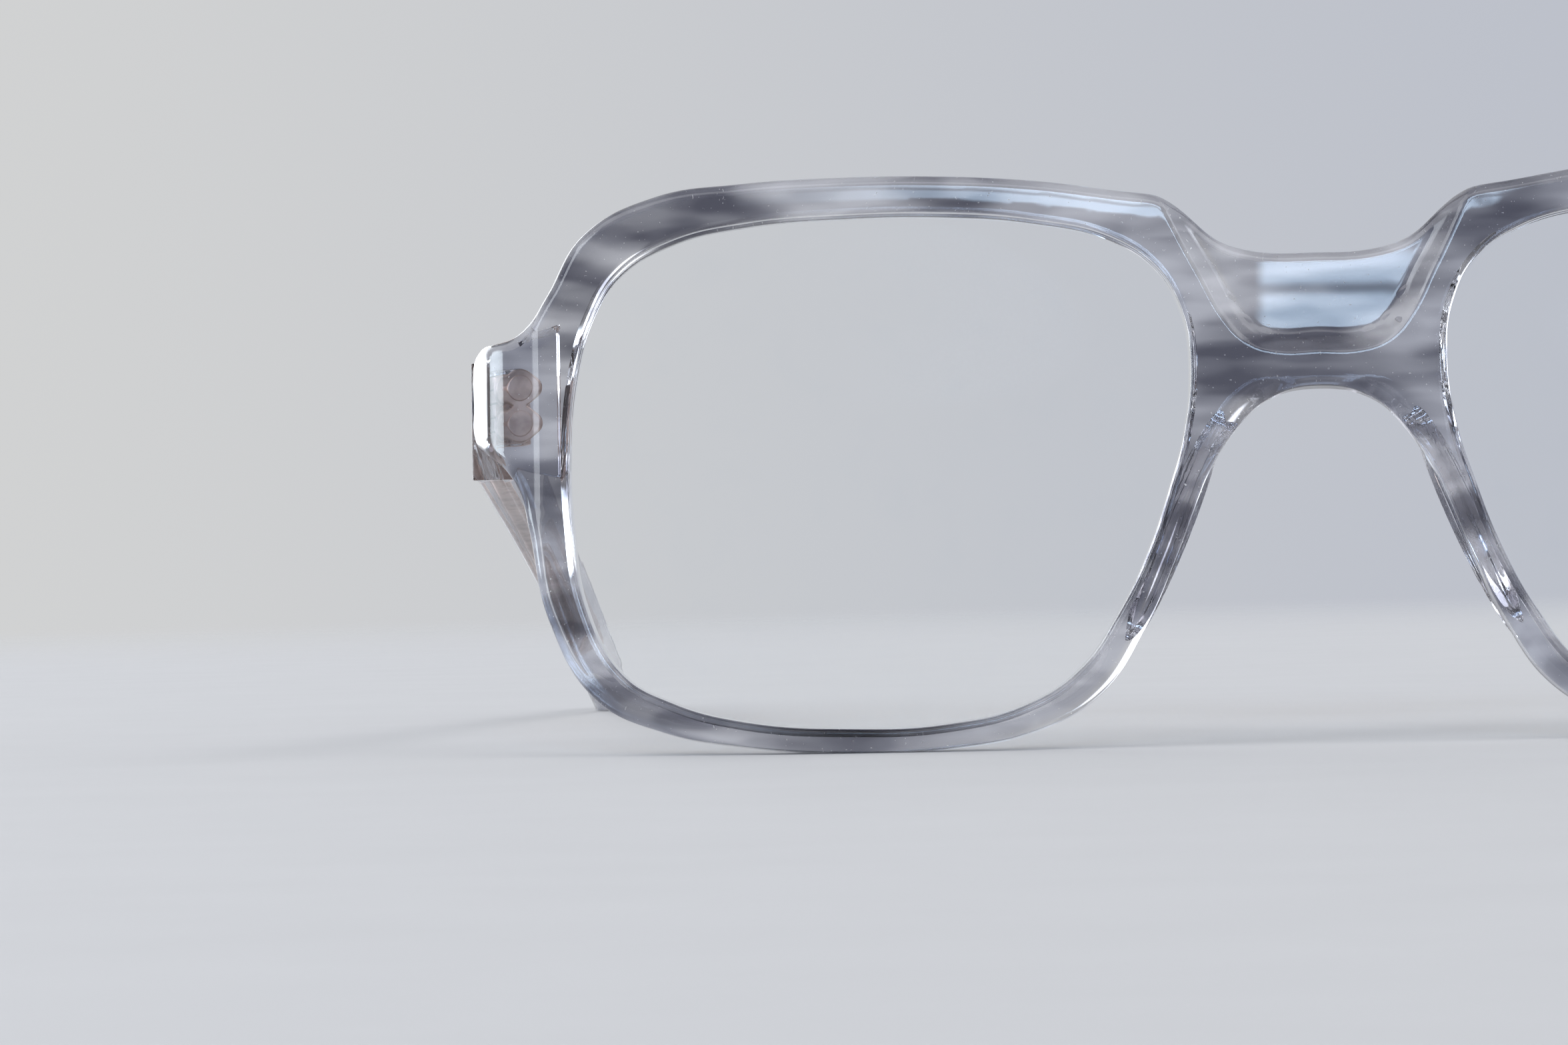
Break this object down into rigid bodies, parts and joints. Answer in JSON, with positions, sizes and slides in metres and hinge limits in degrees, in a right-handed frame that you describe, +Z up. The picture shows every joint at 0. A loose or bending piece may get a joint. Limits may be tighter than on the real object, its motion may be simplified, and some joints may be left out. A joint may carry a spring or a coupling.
{
  "type": "eyeglasses",
  "caption": "Squarish aviator eyeglasses in smoky clear acetate with a scooped saddle bridge, glued nose pads and folding temples.",
  "frame": {"origin": "on the surface that the rims and the temple tips stand on, at the middle of the width and of the depth", "axes": "+X to the viewer's right, +Z up, the front looks along -Y and the temples run to +Y; left and right are as seen from the front"},
  "size_m": [0.1474, 0.1436, 0.0487],
  "materials": {
    "front_acetate": "polished translucent acetate, smoky grey with soft level stripes",
    "temple_acetate": "polished translucent acetate, smoky grey",
    "pad_acetate": "polished clear acetate",
    "clear_lens": "thin, clear, without power",
    "hinge_metal": "warm grey nickel silver",
    "screw_steel": "plain steel"
  },
  "bodies": {
    "front_frame": {"front": "front_acetate", "lens_left": "clear_lens", "lens_right": "clear_lens", "nose_pad_left": "pad_acetate", "nose_pad_right": "pad_acetate", "front_hinge_leaf_left": "hinge_metal", "front_hinge_leaf_right": "hinge_metal", "hinge_screw_left": "screw_steel", "hinge_screw_right": "screw_steel"},
    "left_temple": {"temple_left": "temple_acetate", "temple_hinge_leaf_left": "hinge_metal", "temple_core_left": "hinge_metal"},
    "right_temple": {"temple_right": "temple_acetate", "temple_hinge_leaf_right": "hinge_metal", "temple_core_right": "hinge_metal"}
  },
  "joints": [
    {"name": "left_temple_hinge", "type": "hinge", "parent": "front_frame", "child": "left_temple", "pos_m": [-0.0674, -0.05396, 0.02972], "axis": [0, -0.0872, -0.9962], "range_deg": [0, 85]},
    {"name": "right_temple_hinge", "type": "hinge", "parent": "front_frame", "child": "right_temple", "pos_m": [0.0674, -0.05396, 0.02972], "axis": [0, 0.0872, 0.9962], "range_deg": [0, 92]}
  ]
}
